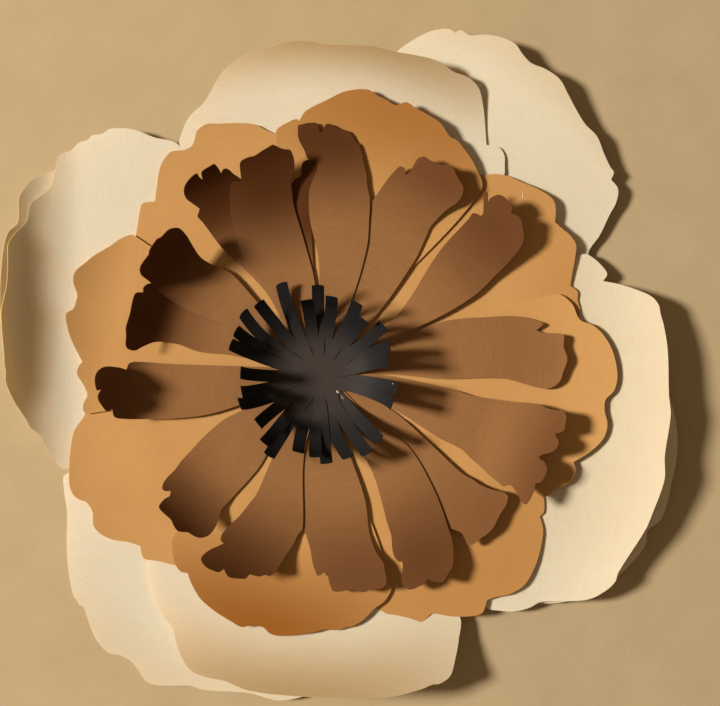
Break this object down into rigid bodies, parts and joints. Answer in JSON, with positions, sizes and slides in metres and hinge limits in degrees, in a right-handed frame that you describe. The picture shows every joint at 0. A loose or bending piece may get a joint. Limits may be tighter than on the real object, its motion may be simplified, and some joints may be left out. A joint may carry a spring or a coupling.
{
  "type": "giant paper flower",
  "caption": "Large handmade paper flower for a wall or table: curled card petals in cream, orange and brown around a black fringed centre, glued on a card disc.",
  "frame": {"origin": "middle of the back face of the backing disc, which the flower rests on", "axes": "+Z out of the flower's face, away from what it rests on; +X to the picture's right and +Y to the picture's top, across the petals"},
  "size_m": [0.472, 0.4698, 0.0569],
  "materials": {
    "backing_card": "matt uncoated card",
    "cream_card": "matt textured card",
    "orange_card": "matt textured card",
    "brown_card": "matt textured card",
    "black_card": "matt card"
  },
  "bodies": {
    "root": {"backing_disc": "backing_card", "outer_petal_lower_top_right": "cream_card", "outer_petal_lower_left": "cream_card", "outer_petal_lower_bottom": "cream_card", "outer_petal_lower_right": "cream_card", "outer_petal_upper_top": "cream_card", "outer_petal_upper_left": "cream_card", "outer_petal_upper_bottom": "cream_card", "outer_petal_upper_right": "cream_card", "middle_petal_lower_top_right": "orange_card", "middle_petal_lower_top_left": "orange_card", "middle_petal_lower_left": "orange_card", "middle_petal_lower_bottom": "orange_card", "middle_petal_upper_top": "orange_card", "middle_petal_upper_left": "orange_card", "middle_petal_upper_bottom": "orange_card", "middle_petal_upper_right": "orange_card", "inner_petal_01": "brown_card", "inner_petal_02": "brown_card", "inner_petal_03": "brown_card", "inner_petal_04": "brown_card", "inner_petal_05": "brown_card", "inner_petal_06": "brown_card", "inner_petal_07": "brown_card", "inner_petal_08": "brown_card", "inner_petal_09": "brown_card", "inner_petal_10": "brown_card", "inner_petal_11": "brown_card", "inner_petal_12": "brown_card", "inner_petal_13": "brown_card", "inner_petal_14": "brown_card", "inner_petal_15": "brown_card", "inner_petal_16": "brown_card", "fringed_centre_lower": "black_card", "fringed_centre_upper": "black_card"}
  },
  "joints": []
}
